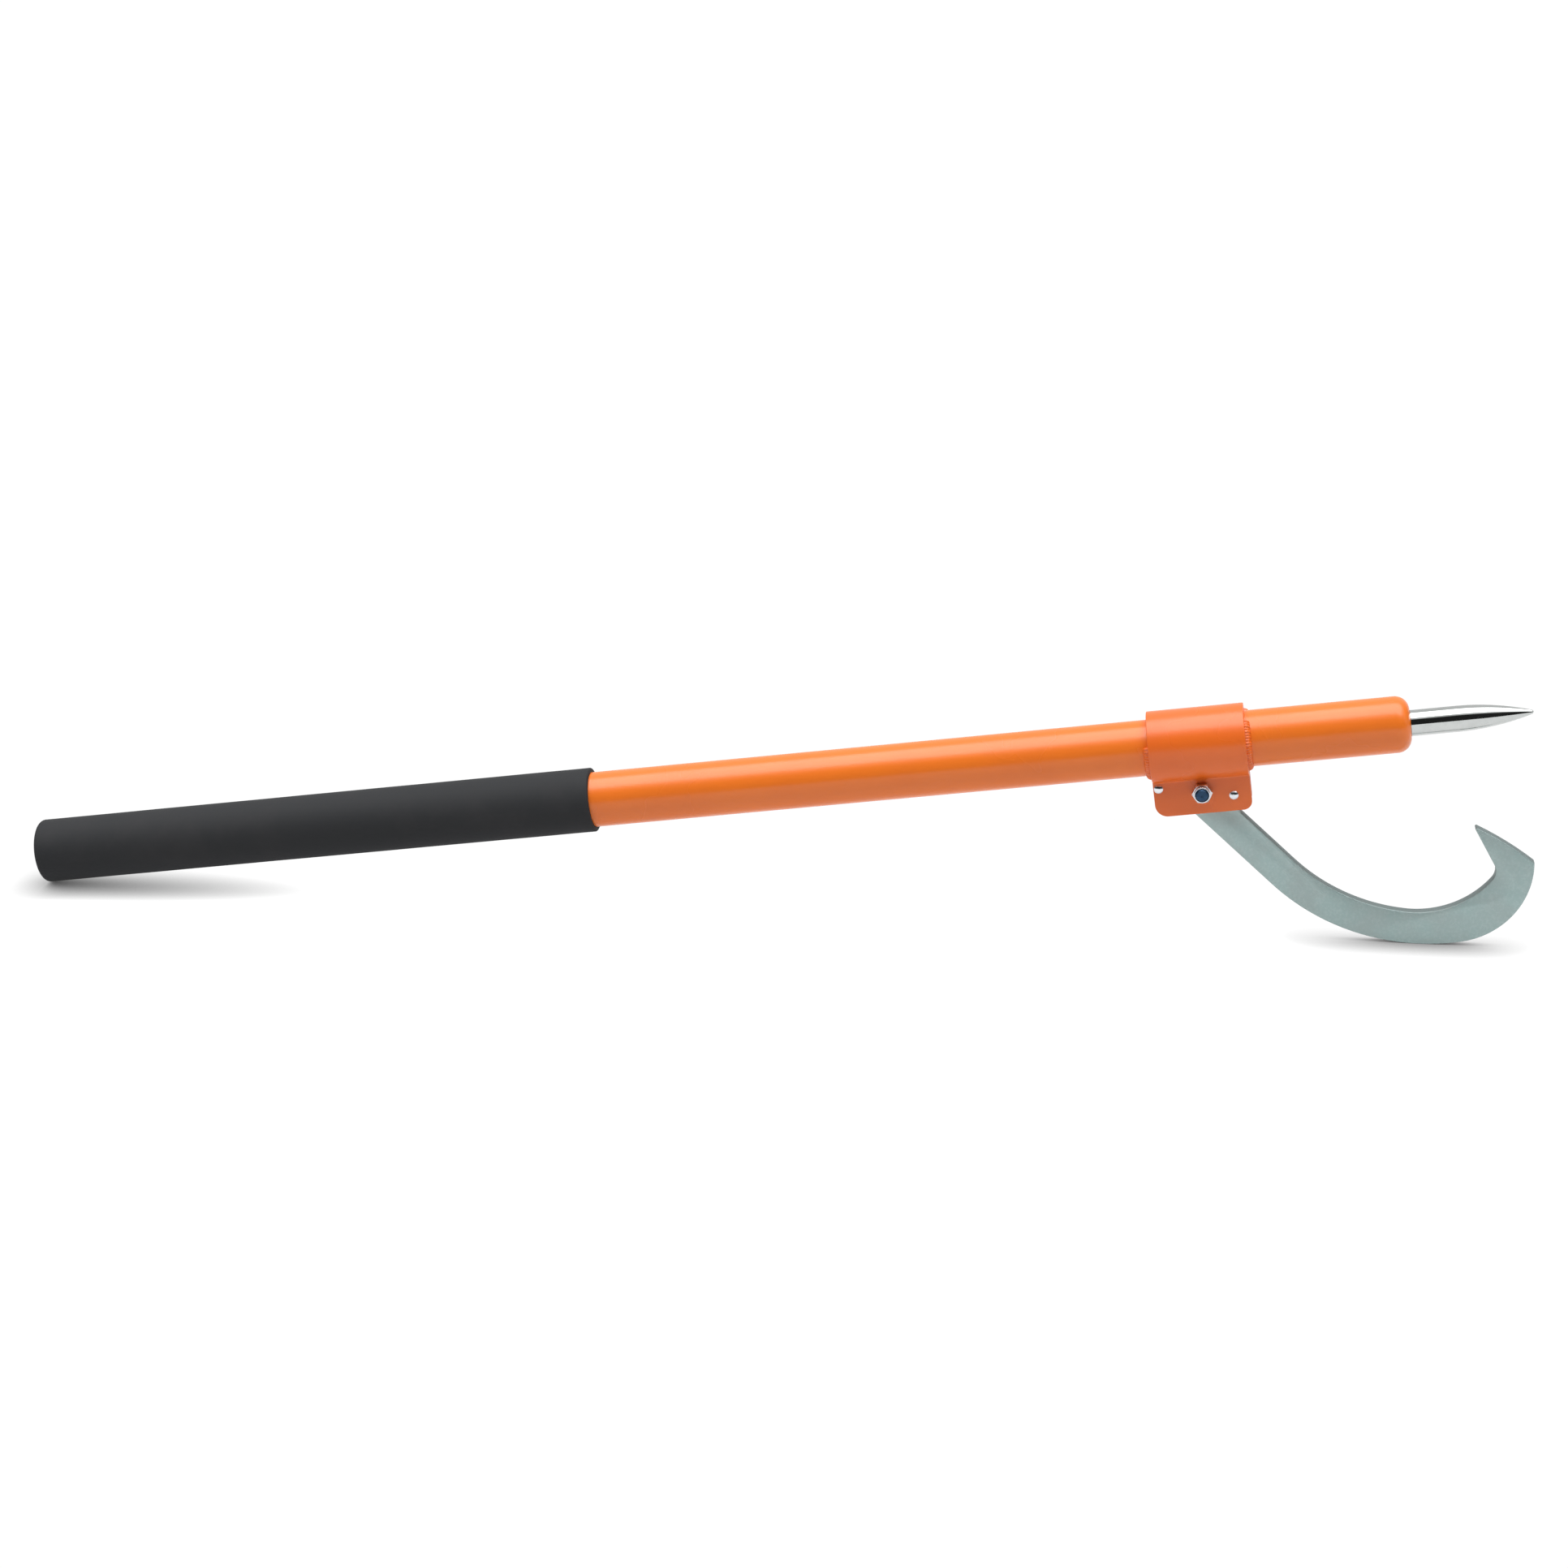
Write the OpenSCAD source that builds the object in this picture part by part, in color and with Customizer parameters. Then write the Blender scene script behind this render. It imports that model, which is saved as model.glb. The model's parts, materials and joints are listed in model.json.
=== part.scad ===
// Peavey: a log-rolling lever with a tubular shaft, a rubber grip, a spike and a swinging hook.
// Millimetres. The shaft runs along X with the spike toward +X, and the tool lies as it rests:
// the grip's end and the hook's back stand on the floor at z = 0.

/* [Shaft] */
// Length from the end of the grip to the point of the spike
overall_len = 1219.2; // [1000:0.1:1500]
// Outside diameter of the tube
tube_od = 44.45; // [42:0.05:45.4]
// Wall of the tube
tube_wall = 3.175; // [2.5:0.005:4.5]

/* [Grip] */
// Length of the rubber sleeve, with its closed end
grip_len = 472; // [200:1:600]
// Thickness of the rubber around the tube
grip_wall = 3.75; // [2.5:0.05:6]
// Thickness of the rubber across the end
grip_end = 6; // [5:0.5:12]
// Rounding of the rim at the closed end
grip_round = 4; // [1.5:0.1:5]
// Bevel of the rim at the open end
grip_bevel = 1.2; // [0.4:0.1:2]
// Thickness of the plug's disc, which covers the end of the tube
plug_flange = 3; // [2:0.5:6]
// Length of the plug's skirt inside the tube
plug_skirt = 25; // [12:1:50]
// Wall of the plug's skirt
plug_wall = 2.5; // [1.5:0.1:4]

/* [Nose] */
// Length of the rounded shoulder ahead of the tube
nose_len = 13; // [12.5:0.1:30]
// Rounding of the shoulder
nose_round = 11.2; // [4:0.1:11.5]
// Length of the spigot inside the tube
spigot_len = 60; // [55:1:120]

/* [Spike] */
// Length of the spike ahead of the shoulder
spike_len = 94; // [75:0.5:160]
// Radius of the spike at its root
spike_r = 10.3; // [8:0.1:10.8]
// Length of the straight root
spike_root = 35; // [20:1:50]
// Radius of the point
point_r = 1.8; // [1:0.1:3]
// Radius of the tang inside the nose
tang_r = 7; // [5:0.1:7.5]
// Length of the tang
tang_len = 55; // [40:1:60]

/* [Saddle] */
// Thickness of the strap that is bent over the tube
strap_t = 6.35; // [5:0.05:8]
// Length of the strap along the tube
saddle_len = 76; // [74:1:100]
// From the face of the shoulder back to the pivot
pivot_back = 165.2; // [120:0.1:220]
// From the axis of the tube down to the pivot
pivot_drop = 36.7; // [36.5:0.1:42]
// From the pivot down to the lower edge of the ears
ear_below = 18; // [15:0.1:20]
// Inside radius of the bend between the wrap and an ear, on the outer face
bend_r = 2.5; // [2:0.1:6]
// Rounding of the ears' lower rear corners
ear_rear_r = 10; // [3:0.1:13]
// Rounding of the ears' lower front corners
ear_front_r = 7; // [3:0.1:12]
// Leg of the weld beads at the ends of the strap
weld_leg = 5; // [3:0.1:5]
// Height of the rear beads around the tube, as an angle above its side
rear_weld_top = 15; // [0:1:80]
// Height of the front beads around the tube, as an angle above its side
front_weld_top = 50; // [0:1:80]
// Lower end of all beads, as an angle below the side of the tube
weld_bottom = 58; // [20:1:60]

/* [Pivot] */
// Radius of the bolt's shank
bolt_r = 4.76; // [4:0.01:5]
// Width of the bolt's head and of the nut, across the flats
hex_af = 14.3; // [14:0.1:17]
// Height of the bolt's head
head_h = 6; // [4:0.1:8]
// Height of the nut's hexagon
nut_h = 6.6; // [5:0.1:10]
// Height of the collar that holds the nut's insert
collar_h = 2.8; // [2.2:0.1:4]
// Outer radius of the sleeve that the hook turns on
sleeve_r = 6.6; // [6.2:0.1:6.9]
// How far the bolt stands out of the nut
bolt_out = 1; // [0.5:0.1:3]

/* [Stops] */
// From the ears' front edge back to the front stop
front_stop_edge = 13.7; // [12:0.1:14.5]
// From the pivot down to the front stop
front_stop_drop = 5.1; // [4:0.1:6]
// From the ears' rear edge forward to the rear stop
rear_stop_edge = 4.2; // [4:0.1:6]
// From the bend of the ears down to the head of the rear stop's rivet
rear_head_gap = 0.1; // [0.05:0.05:1.5]
// Radius of the rivets' shanks
rivet_r = 2.4; // [2:0.1:2.6]
// Radius of the rivets' heads
rivet_head_r = 3.6; // [3.4:0.1:4]
// Height of the rivets' heads
rivet_head_h = 1.8; // [1:0.1:2.5]
// Outer radius of the spacers on the rivets
spacer_r = 4; // [3.6:0.1:4.1]

/* [Hook] */
// Thickness of the plate
hook_t = 10; // [8:0.1:12.7]
// Width of the shank
shank_w = 25.8; // [23:0.1:27]
// From the centre of the eye to the throat edge of the shank
shank_in = 7.1; // [6.5:0.1:8.5]
// Slope of the shank below the shaft, with the hook on its front stop
shank_angle = 49.8; // [48:0.1:52]
// From the eye along the shank to the start of the bow
shank_len = 94.4; // [75:0.1:125]
// Radius of the eye's end
eye_r = 13.6; // [12.5:0.1:13.7]
// Length of the wide head along the shank
head_len = 28; // [25:0.5:30]
// Taper from the head to the shank, as length for each millimetre of its step
head_taper = 2; // [1:0.1:4]
// Rounding of the head's back corner
heel_corner_r = 8; // [6:0.1:9]
// Radius of the bow on the throat side
bow_r = 149.3; // [135:0.1:165]
// Sweep of the bow on the throat side
bow_in_sweep = 37.4; // [35:0.1:41]
// Sweep of the bow on the back
bow_out_sweep = 52.6; // [50:0.1:55]
// Radius of the throat's end
throat_r = 75.2; // [70:0.1:79]
// Radius of the back behind the beak
back_r = 65.4; // [61:0.1:69]
// Sweep of the back behind the beak
back_sweep = 82.9; // [80:0.1:86]
// Place of the beak's point along the shank's direction, from the eye
beak_along = 175; // [170:0.1:180]
// Place of the beak's point across the shank's direction, from the eye
beak_across = 125.9; // [123:0.1:129]
// Angle of the beak's inner edge to the shank
beak_angle = 18.3; // [15:0.1:21]
// Width of the beak's blunt point
beak_blunt = 1.6; // [0.8:0.1:3]
// How far the beak's upper edge bulges from a straight line
beak_bulge = 1.4; // [0.2:0.1:3]
// Rounding where the beak meets the throat
notch_r = 12; // [5:0.1:15]

/* [Fits] */
// Gap between pieces that are pressed or shrunk together
press_gap = 0.03; // [0.01:0.01:0.05]
// Gap around a bolt or rivet in its hole
hole_gap = 0.12; // [0.06:0.01:0.3]
// Gap between the sleeve and the hook's eye
running_gap = 0.08; // [0.03:0.01:0.1]
// Gap on each side of the hook, between the ears
side_gap = 0.4; // [0.3:0.05:1]
// Gap between the hook and its front stop at rest
stop_gap = 0.3; // [0.2:0.05:0.6]

/* [Small edges] */
// Bevel of the corners of the nut and of the bolt's head
hex_bevel = 0.8; // [0.4:0.1:1]
// Step from the nut's flats in to its collar
collar_step = 0.6; // [0.3:0.1:1]
// Wall of the nut's collar around the insert
collar_wall = 0.9; // [0.6:0.1:1.1]
// Depth of the insert below the rim of the collar
insert_recess = 0.5; // [0.2:0.1:1]
// Bevel at the end of the bolt
bolt_bevel = 0.7; // [0.3:0.1:1]

/* [Hidden] */
$fn = 96;
// Depth of a cut beyond the face that it starts from
over = 1;
// Largest step of a drawn arc, in degrees
arc_step = 2;
// How far the strap's bends cut past the faces that they join, so that these meet cleanly
blend = 0.01;

// Shaft, seen along its own axis: x = 0 is the end of the grip
tube_r = tube_od / 2;
bore_r = tube_r - tube_wall;
tube_start = grip_end + plug_flange;
shoulder_x = overall_len - spike_len;
tube_end = shoulder_x - nose_len;
grip_bore_r = tube_r + press_gap;
grip_r = grip_bore_r + grip_wall;
plug_r = bore_r - press_gap;
tang_bore_r = tang_r + press_gap;

// Spike: the arc from the root runs tangent to the root and to the point
ogive_len = spike_len - spike_root;
ogive_r = (pow(ogive_len - point_r, 2) + pow(spike_r, 2) - pow(point_r, 2)) / (2 * (spike_r - point_r));
ogive_end = asin((ogive_len - point_r) / (ogive_r - point_r));

// Saddle section, across the tube
wrap_in_r = tube_r + press_gap;
wrap_out_r = wrap_in_r + strap_t;
ear_in = hook_t / 2 + side_gap;
ear_out = ear_in + strap_t;
bend_y = ear_out + bend_r;
bend_z = -sqrt(pow(wrap_out_r + bend_r, 2) - pow(bend_y, 2));
pivot_x = shoulder_x - pivot_back;
ear_bottom = pivot_drop + ear_below;

// Pivot and stops, measured from the pivot
bolt_hole_r = bolt_r + hole_gap;
rivet_hole_r = rivet_r + hole_gap;
eye_hole_r = sleeve_r + running_gap;
collar_r = hex_af / 2 - collar_step;
insert_r = collar_r - collar_wall;
insert_h = collar_h - insert_recess;
front_stop = [saddle_len / 2 - front_stop_edge, -front_stop_drop];
rear_stop = [rear_stop_edge - saddle_len / 2, pivot_drop + bend_z - rivet_head_r - rear_head_gap];

// Hook, drawn with its eye at the origin, the shank along +x and the throat toward +y
function unit(a) = [cos(a), sin(a)];
function arc(c, r, from, to) =
    let (n = ceil(abs(to - from) / arc_step))
    [for (i = [1:n]) c + r * unit(from + (to - from) * i / n)];
function bulged(p, q, rise) =
    let (
        chord = norm(q - p),
        r = (pow(chord / 2, 2) + pow(rise, 2)) / (2 * rise),
        half = asin(chord / 2 / r),
        along = atan2(q[1] - p[1], q[0] - p[0]),
        c = (p + q) / 2 - (r - rise) * unit(along - 90)
    )
    arc(c, r, along - 90 - half, along - 90 + half);

shank_out = shank_w - shank_in;
stop_flat = front_stop[0] * sin(shank_angle) + front_stop[1] * cos(shank_angle) - spacer_r - stop_gap;
flat_angle = asin(min(1, stop_flat / eye_r));
heel_corner = [heel_corner_r, heel_corner_r - shank_out];
heel_tangent = 360 + atan2(heel_corner[1], heel_corner[0])
    - acos((eye_r - heel_corner_r) / norm(heel_corner));
bow_c = [shank_len, shank_in + bow_r];
bow_out_r = bow_r + shank_w;
back_start = bow_out_sweep - 90;
back_end = back_start + back_sweep;
back_c = bow_c + (bow_out_r - back_r) * unit(back_start);
throat_start = bow_in_sweep - 90;
throat_c = bow_c + (bow_r - throat_r) * unit(throat_start);
beak_back = back_c + back_r * unit(back_end);
beak_point = [beak_along, beak_across];
beak_under = beak_point + beak_blunt * unit(-90 - beak_angle);
notch_w = beak_under + notch_r * unit(-90 - beak_angle) - throat_c;
notch_along = -notch_w * unit(-beak_angle)
    + sqrt(pow(notch_w * unit(-beak_angle), 2) - notch_w * notch_w + pow(throat_r - notch_r, 2));
notch_c = throat_c + notch_w + notch_along * unit(-beak_angle);
notch_end = atan2(notch_c[1] - throat_c[1], notch_c[0] - throat_c[0]);

hook_outline = concat(
    [
        [head_len + head_taper * abs(stop_flat - shank_in), shank_in],
        [head_len, stop_flat],
        eye_r * unit(flat_angle),
        eye_r * unit(heel_tangent),
        heel_corner + heel_corner_r * unit(heel_tangent),
        [heel_corner_r, -shank_out],
        [shank_len, -shank_out]
    ],
    arc(bow_c, bow_out_r, -90, back_start),
    arc(back_c, back_r, back_start, back_end),
    bulged(beak_back, beak_point, beak_bulge),
    [beak_under, notch_c + notch_r * unit(90 - beak_angle)],
    arc(notch_c, notch_r, 90 - beak_angle, notch_end),
    arc(throat_c, throat_r, notch_end, throat_start),
    arc(bow_c, bow_r, throat_start, -90)
);

// Rest: the floor touches the rim of the grip and the back of the hook
function from_hook(p) =
    [pivot_x + p[0] * cos(shank_angle) + p[1] * sin(shank_angle),
     -pivot_drop - p[0] * sin(shank_angle) + p[1] * cos(shank_angle)];
rim_c = [grip_round, grip_round - grip_r];
function tilt_on(c, r) = asin((r - grip_round) / norm(c - rim_c)) - atan2(c[1] - rim_c[1], c[0] - rim_c[0]);
bow_tilt = tilt_on(from_hook(bow_c), bow_out_r);
back_tilt = tilt_on(from_hook(back_c), back_r);
rest_tilt = shank_angle - bow_tilt <= bow_out_sweep ? bow_tilt : back_tilt;
floor_z = grip_round - rim_c[0] * sin(rest_tilt) - rim_c[1] * cos(rest_tilt);
function rest_x(p) = p[0] * cos(rest_tilt) - p[1] * sin(rest_tilt);
low_x = rest_x([grip_round, -rim_c[1]]) - grip_round;
high_x = max(rest_x(from_hook(back_c)) + back_r, rest_x([overall_len - point_r, 0]) + point_r);
mid_x = (low_x + high_x) / 2;

// Puts a piece that is drawn along the shaft into the rest pose
module at_rest() {
    translate([-mid_x, 0, floor_z]) rotate([0, -rest_tilt, 0]) children();
}

// Turns a profile of [radius, distance along the shaft] around the shaft's axis
module turned(x = 0) {
    translate([x, 0, 0]) rotate([0, 90, 0]) rotate_extrude() children();
}

// Places a piece with its own z axis along the pivot's axis
module at_pivot(offset = [0, 0]) {
    translate([pivot_x + offset[0], 0, offset[1] - pivot_drop]) rotate([90, 0, 0]) children();
}

module shaft_tube() {
    color("darkorange") at_rest() difference() {
        turned(tube_start) square([tube_r, tube_end - tube_start]);
        turned(tube_start - over) square([bore_r, tube_end - tube_start + 2 * over]);
    }
}

module butt_plug() {
    color("dimgray") at_rest() difference() {
        turned(grip_end) union() {
            square([tube_r, plug_flange]);
            square([plug_r, plug_flange + plug_skirt]);
        }
        turned(tube_start) square([plug_r - plug_wall, plug_skirt + over]);
    }
}

module grip_profile() {
    square([grip_r - grip_round, grip_len]);
    translate([0, grip_round]) square([grip_r, grip_len - grip_round - grip_bevel]);
    translate([grip_r - grip_round, grip_round]) circle(grip_round);
    polygon([
        [0, grip_len - grip_bevel], [grip_r, grip_len - grip_bevel],
        [grip_r - grip_bevel, grip_len], [0, grip_len]
    ]);
}

module grip_sleeve() {
    color([0.2, 0.2, 0.21]) at_rest() difference() {
        turned() grip_profile();
        turned(grip_end) square([grip_bore_r, grip_len]);
    }
}

module nose_profile() {
    square([plug_r, spigot_len + nose_len - nose_round]);
    translate([0, spigot_len]) square([tube_r, nose_len - nose_round]);
    translate([0, spigot_len]) square([tube_r - nose_round, nose_len]);
    intersection() {
        translate([tube_r - nose_round, spigot_len + nose_len - nose_round]) circle(nose_round);
        translate([0, spigot_len]) square([tube_r, nose_len]);
    }
}

module nose_plug() {
    color("darkorange") at_rest() difference() {
        turned(tube_end - spigot_len) nose_profile();
        turned(shoulder_x - tang_len) square([tang_bore_r, tang_len + over]);
    }
}

module spike_profile() {
    translate([0, -tang_len]) square([tang_r, tang_len + over]);
    square([spike_r, spike_root]);
    intersection() {
        translate([spike_r - ogive_r, spike_root]) circle(ogive_r, $fn = 360);
        translate([0, spike_root]) square([spike_r, ogive_r * sin(ogive_end)]);
    }
    intersection() {
        translate([0, spike_len - point_r]) circle(point_r);
        translate([0, spike_len - 2 * point_r]) square([point_r, 2 * point_r]);
    }
}

module spike() {
    color("silver") at_rest() turned(shoulder_x) spike_profile();
}

// Bar with a wall hanging from it and a bend on each side between them, of one length
module keyhole(r, half_w, corner_r, depth, length) {
    cylinder(r = r, h = length);
    translate([-half_w, -depth, 0]) cube([2 * half_w, depth, length]);
    for (side = [0, 1])
        mirror([side, 0, 0]) difference() {
            linear_extrude(length) polygon([[0, 0], [bend_y, bend_z], [0, bend_z]]);
            translate([bend_y, bend_z, -over]) cylinder(r = corner_r + blend, h = length + 2 * over);
        }
}

// Strap along z: the wrap, then a bend and an ear on each side
module strap() {
    difference() {
        keyhole(wrap_out_r, ear_out, bend_r, ear_bottom, saddle_len);
        translate([0, 0, -over])
            keyhole(wrap_in_r, ear_in, bend_r + strap_t, ear_bottom + over, saddle_len + 2 * over);
    }
}

// Side view of the ears, measured from the pivot, for rounding their lower corners
module ear_side() {
    half = saddle_len / 2;
    translate([-half, ear_rear_r - ear_below]) square([half, 2 * ear_bottom]);
    translate([0, ear_front_r - ear_below]) square([half, 2 * ear_bottom]);
    translate([-half + ear_rear_r, -ear_below]) square([saddle_len - ear_rear_r - ear_front_r, ear_bottom]);
    translate([-half + ear_rear_r, ear_rear_r - ear_below]) circle(ear_rear_r);
    translate([half - ear_front_r, ear_front_r - ear_below]) circle(ear_front_r);
}

module saddle() {
    color("orangered") at_rest() difference() {
        intersection() {
            translate([pivot_x - saddle_len / 2, 0, 0]) rotate([90, 0, 90]) strap();
            at_pivot() linear_extrude(4 * wrap_out_r, center = true) ear_side();
        }
        at_pivot() cylinder(r = bolt_hole_r, h = 4 * ear_out, center = true);
        at_pivot(front_stop) cylinder(r = rivet_hole_r, h = 4 * ear_out, center = true);
        at_pivot(rear_stop) cylinder(r = rivet_hole_r, h = 4 * ear_out, center = true);
    }
}

// One bead on each side of the tube, its leg toward +x of the place given
module weld_pair(top) {
    for (side = [0, 1])
        mirror([0, side, 0]) rotate([0, 90, 0])
            rotate([0, 0, 90 - weld_bottom]) rotate_extrude(angle = weld_bottom + top)
                intersection() {
                    translate([wrap_in_r, 0]) circle(weld_leg);
                    translate([wrap_in_r, 0]) square(weld_leg);
                }
}

module front_weld() {
    color("orangered") at_rest()
        translate([pivot_x + saddle_len / 2, 0, 0]) weld_pair(front_weld_top);
}

module rear_weld() {
    color("orangered") at_rest()
        translate([pivot_x - saddle_len / 2, 0, 0]) mirror([1, 0, 0]) weld_pair(rear_weld_top);
}

module pivot_sleeve() {
    color("gray") at_rest() at_pivot() difference() {
        cylinder(r = sleeve_r, h = 2 * ear_in, center = true);
        cylinder(r = bolt_hole_r, h = 4 * ear_in, center = true);
    }
}

// Hexagon with its corners bevelled on the face at the top
module hex_block(h) {
    corner_r = hex_af / 2 / cos(30);
    intersection() {
        cylinder(r = corner_r, h = h, $fn = 6);
        cylinder(r1 = corner_r + h, r2 = corner_r - hex_bevel, h = h);
    }
}

module pivot_bolt() {
    color("slategray") at_rest() at_pivot() {
        translate([0, 0, -ear_out]) mirror([0, 0, 1]) hex_block(head_h);
        translate([0, 0, -ear_out - over]) cylinder(r = bolt_r, h = 2 * ear_out + nut_h + collar_h + over);
        translate([0, 0, ear_out + nut_h + collar_h])
            cylinder(r1 = bolt_r, r2 = bolt_r - bolt_bevel, h = bolt_out);
    }
}

module pivot_nut() {
    color("lightgray") at_rest() at_pivot() translate([0, 0, ear_out]) difference() {
        union() {
            hex_block(nut_h);
            cylinder(r = collar_r, h = nut_h + collar_h);
        }
        translate([0, 0, -over]) cylinder(r = bolt_r + press_gap, h = nut_h + collar_h + 2 * over);
        translate([0, 0, nut_h]) cylinder(r = insert_r + press_gap, h = collar_h + over);
    }
}

module nut_insert() {
    color("steelblue") at_rest() at_pivot() translate([0, 0, ear_out + nut_h]) difference() {
        cylinder(r = insert_r, h = insert_h);
        translate([0, 0, -over]) cylinder(r = bolt_r + press_gap, h = insert_h + 2 * over);
    }
}

module rivet() {
    dome_r = (pow(rivet_head_r, 2) + pow(rivet_head_h, 2)) / (2 * rivet_head_h);
    cylinder(r = rivet_r, h = 2 * ear_out, center = true);
    for (side = [0, 1])
        mirror([0, 0, side]) translate([0, 0, ear_out]) rotate_extrude() intersection() {
            translate([0, rivet_head_h - dome_r]) circle(dome_r);
            square([rivet_head_r + over, rivet_head_h + over]);
        }
}

module spacer() {
    difference() {
        cylinder(r = spacer_r, h = 2 * ear_in, center = true);
        cylinder(r = rivet_hole_r, h = 4 * ear_in, center = true);
    }
}

module front_stop_rivet() {
    color("gainsboro") at_rest() at_pivot(front_stop) rivet();
}

module front_stop_spacer() {
    color("gray") at_rest() at_pivot(front_stop) spacer();
}

module rear_stop_rivet() {
    color("gainsboro") at_rest() at_pivot(rear_stop) rivet();
}

module rear_stop_spacer() {
    color("gray") at_rest() at_pivot(rear_stop) spacer();
}

module hook_shape() {
    circle(eye_r);
    translate(heel_corner) circle(heel_corner_r);
    polygon(hook_outline);
}

module hook() {
    color([0.58, 0.65, 0.62]) at_rest() at_pivot() difference() {
        linear_extrude(hook_t, center = true) rotate(-shank_angle) hook_shape();
        cylinder(r = eye_hole_r, h = 2 * hook_t, center = true);
    }
}

shaft_tube();
butt_plug();
grip_sleeve();
nose_plug();
spike();
saddle();
rear_weld();
front_weld();
pivot_sleeve();
pivot_bolt();
pivot_nut();
nut_insert();
front_stop_rivet();
front_stop_spacer();
rear_stop_rivet();
rear_stop_spacer();
hook();
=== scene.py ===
import bmesh
import bpy
import json
import math
import random
from mathutils import Matrix, Vector


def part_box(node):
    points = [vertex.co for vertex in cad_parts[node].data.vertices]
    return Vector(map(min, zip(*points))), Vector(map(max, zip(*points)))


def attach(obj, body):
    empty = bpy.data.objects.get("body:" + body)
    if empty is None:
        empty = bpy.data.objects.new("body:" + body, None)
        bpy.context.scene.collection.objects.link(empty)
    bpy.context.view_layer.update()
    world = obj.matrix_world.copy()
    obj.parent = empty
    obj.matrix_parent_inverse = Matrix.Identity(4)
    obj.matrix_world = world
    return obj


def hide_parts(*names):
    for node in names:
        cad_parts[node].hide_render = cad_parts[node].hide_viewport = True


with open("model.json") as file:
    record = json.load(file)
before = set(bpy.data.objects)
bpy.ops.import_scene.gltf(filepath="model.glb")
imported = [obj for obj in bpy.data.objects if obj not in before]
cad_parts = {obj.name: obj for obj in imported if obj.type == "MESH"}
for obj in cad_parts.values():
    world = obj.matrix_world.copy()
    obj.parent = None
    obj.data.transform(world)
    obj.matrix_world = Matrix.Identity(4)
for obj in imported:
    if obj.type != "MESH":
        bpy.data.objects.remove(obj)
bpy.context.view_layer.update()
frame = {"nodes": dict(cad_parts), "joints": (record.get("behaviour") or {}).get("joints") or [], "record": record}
mounts = {mount["name"]: mount for mount in frame["record"]["mounts"]}
pivot = Vector(frame["joints"][0]["pos_m"])
mm = 0.001
tiny = 0.2 * mm          # radius at which a turned end is closed
mergeGap = 0.001 * mm    # points nearer than this are one
shaftSegments = 160      # sides of the grip, the tube and the nose
print("frame loaded:", len(frame["nodes"]), "nodes")

# Shaft space: x runs from the grip's end to the spike, y across, z up from the shaft's axis
shaftAxis = Vector(mounts["spike_root"]["axis"]).normalized()
sideAxis = Vector((0, 1, 0))
upAxis = shaftAxis.cross(sideAxis)
gripCentre = Vector(mounts["grip"]["pos_m"])
buttReach = min((v.co - gripCentre).dot(shaftAxis) for v in frame["nodes"]["grip_sleeve"].data.vertices)
shaftSpace = (Matrix.Translation(gripCentre + shaftAxis * buttReach)
              @ Matrix((shaftAxis, sideAxis, upAxis)).transposed().to_4x4())
shaftTilt = math.atan2(shaftAxis.z, shaftAxis.x)
# Pivot space: x points along the bolt to the nut, y along the shaft, z up
pivotSpace = (Matrix.Translation(pivot)
              @ Matrix((-sideAxis, shaftAxis, upAxis)).transposed().to_4x4())


def measure(nodeName):                 # how far a node reaches in shaft space
    inward = shaftSpace.inverted()
    points = [inward @ v.co for v in frame["nodes"][nodeName].data.vertices]
    radii = [math.hypot(p.y, p.z) for p in points]
    return {
        "start": min(p.x for p in points), "end": max(p.x for p in points),
        "inner": min(radii), "outer": max(radii),
        "low": min(p.z for p in points), "high": max(p.z for p in points),
    }


def centreOf(nodeName):
    low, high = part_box(nodeName)
    return (low + high) / 2


# Modelling helpers
def deselectAll():
    if bpy.context.object and bpy.context.object.mode != "OBJECT":
        bpy.ops.object.mode_set(mode="OBJECT")
    bpy.ops.object.select_all(action="DESELECT")


def editNew(name):                     # names the primitive just added and opens it for editing
    piece = bpy.context.object
    piece.name = name
    piece.data.name = name
    bpy.ops.object.mode_set(mode="EDIT")
    bpy.ops.mesh.select_all(action="SELECT")
    return piece


def selectWhere(piece, test):          # picks the points whose place passes the test
    mesh = bmesh.from_edit_mesh(piece.data)
    for vert in mesh.verts:
        vert.select = test(piece.matrix_world @ vert.co)
    mesh.select_flush_mode()
    bmesh.update_edit_mesh(piece.data)


def extrudeBy(x=0, z=0):
    bpy.ops.mesh.extrude_region_move(TRANSFORM_OT_translate={"value": (x, 0, z)})


def useModifier(piece, kind, **settings):
    modifier = piece.modifiers.new(kind.lower(), kind)
    for key, value in settings.items():
        setattr(modifier, key, value)
    bpy.context.view_layer.objects.active = piece
    bpy.ops.object.modifier_apply(modifier=modifier.name)


def cutAway(piece, tool):              # the tool is thrown away after its cut
    useModifier(piece, "BOOLEAN", object=tool, operation="DIFFERENCE", solver="EXACT")
    bpy.data.objects.remove(tool)


def arcRings(x, radius, r, start, end, steps):     # part of a turned outline, round (x, radius)
    angles = [math.radians(start + (end - start) * i / steps) for i in range(steps + 1)]
    return [(x + r * math.cos(a), radius + r * math.sin(a)) for a in angles]


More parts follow.
